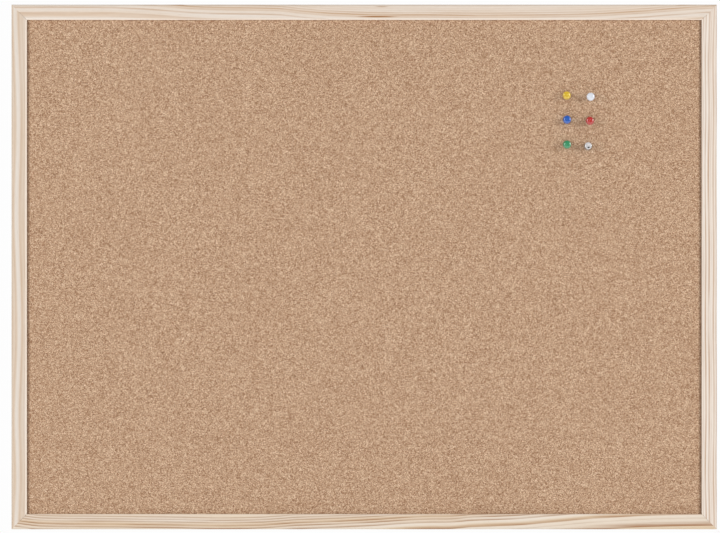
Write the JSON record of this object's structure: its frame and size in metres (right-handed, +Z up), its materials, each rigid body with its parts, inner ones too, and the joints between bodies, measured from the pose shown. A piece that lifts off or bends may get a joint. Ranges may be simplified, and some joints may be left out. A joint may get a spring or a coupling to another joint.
{
  "type": "cork bulletin board",
  "caption": "Wall-hung cork notice board in a mitred pine frame, with coloured push pins that pull out.",
  "frame": {"origin": "on the wall plane, on the back of the top rail, midway between the entry holes of the two keyhole hangers", "axes": "+X to the right along the top rail seen from the front, +Y into the wall, +Z up; the cork faces -Y"},
  "size_m": [0.8, 0.0309, 0.595],
  "materials": {
    "pine": "sanded, unvarnished",
    "cork": "fine pressed cork granules",
    "softboard": "coarse wood fibre",
    "hardboard": "dense brown fibreboard",
    "galvanised_steel": "galvanised",
    "zinc_plate": "bright zinc",
    "screw_steel": "yellow zinc",
    "needle_steel": "polished",
    "plastic_yellow": "glossy",
    "plastic_white": "glossy",
    "plastic_blue": "glossy",
    "plastic_red": "glossy",
    "plastic_green": "glossy",
    "plastic_clear": "glossy, transparent"
  },
  "bodies": {
    "board": {"frame_rail_top": "pine", "frame_rail_bottom": "pine", "frame_rail_left": "pine", "frame_rail_right": "pine", "cork_sheet": "cork", "softboard_core": "softboard", "hardboard_back": "hardboard", "v_nails_top_left": "galvanised_steel", "v_nails_top_right": "galvanised_steel", "v_nails_bottom_left": "galvanised_steel", "v_nails_bottom_right": "galvanised_steel", "hanger_plate_left": "zinc_plate", "hanger_plate_right": "zinc_plate", "hanger_screws_left": "screw_steel", "hanger_screws_right": "screw_steel"},
    "pin_yellow": {"pin_yellow_head": "plastic_yellow", "pin_yellow_needle": "needle_steel"},
    "pin_white": {"pin_white_head": "plastic_white", "pin_white_needle": "needle_steel"},
    "pin_blue": {"pin_blue_head": "plastic_blue", "pin_blue_needle": "needle_steel"},
    "pin_red": {"pin_red_head": "plastic_red", "pin_red_needle": "needle_steel"},
    "pin_green": {"pin_green_head": "plastic_green", "pin_green_needle": "needle_steel"},
    "pin_clear": {"pin_clear_head": "plastic_clear", "pin_clear_needle": "needle_steel"}
  },
  "joints": [
    {"name": "pin_yellow_pull", "type": "slide", "parent": "board", "child": "pin_yellow", "axis": [-0.0175, -0.9998, -0.0087], "range_m": [0, 0.012]},
    {"name": "pin_white_pull", "type": "slide", "parent": "board", "child": "pin_white", "axis": [-0.0436, -0.9987, -0.0262], "range_m": [0, 0.012]},
    {"name": "pin_blue_pull", "type": "slide", "parent": "board", "child": "pin_blue", "axis": [-0.0175, -0.9998, -0.0087], "range_m": [0, 0.012]},
    {"name": "pin_red_pull", "type": "slide", "parent": "board", "child": "pin_red", "axis": [-0.0262, -0.9996, 0.0087], "range_m": [0, 0.012]},
    {"name": "pin_green_pull", "type": "slide", "parent": "board", "child": "pin_green", "axis": [0, -0.9997, -0.0262], "range_m": [0, 0.012]},
    {"name": "pin_clear_pull", "type": "slide", "parent": "board", "child": "pin_clear", "axis": [-0.0174, -0.9992, 0.0349], "range_m": [0, 0.012]}
  ]
}
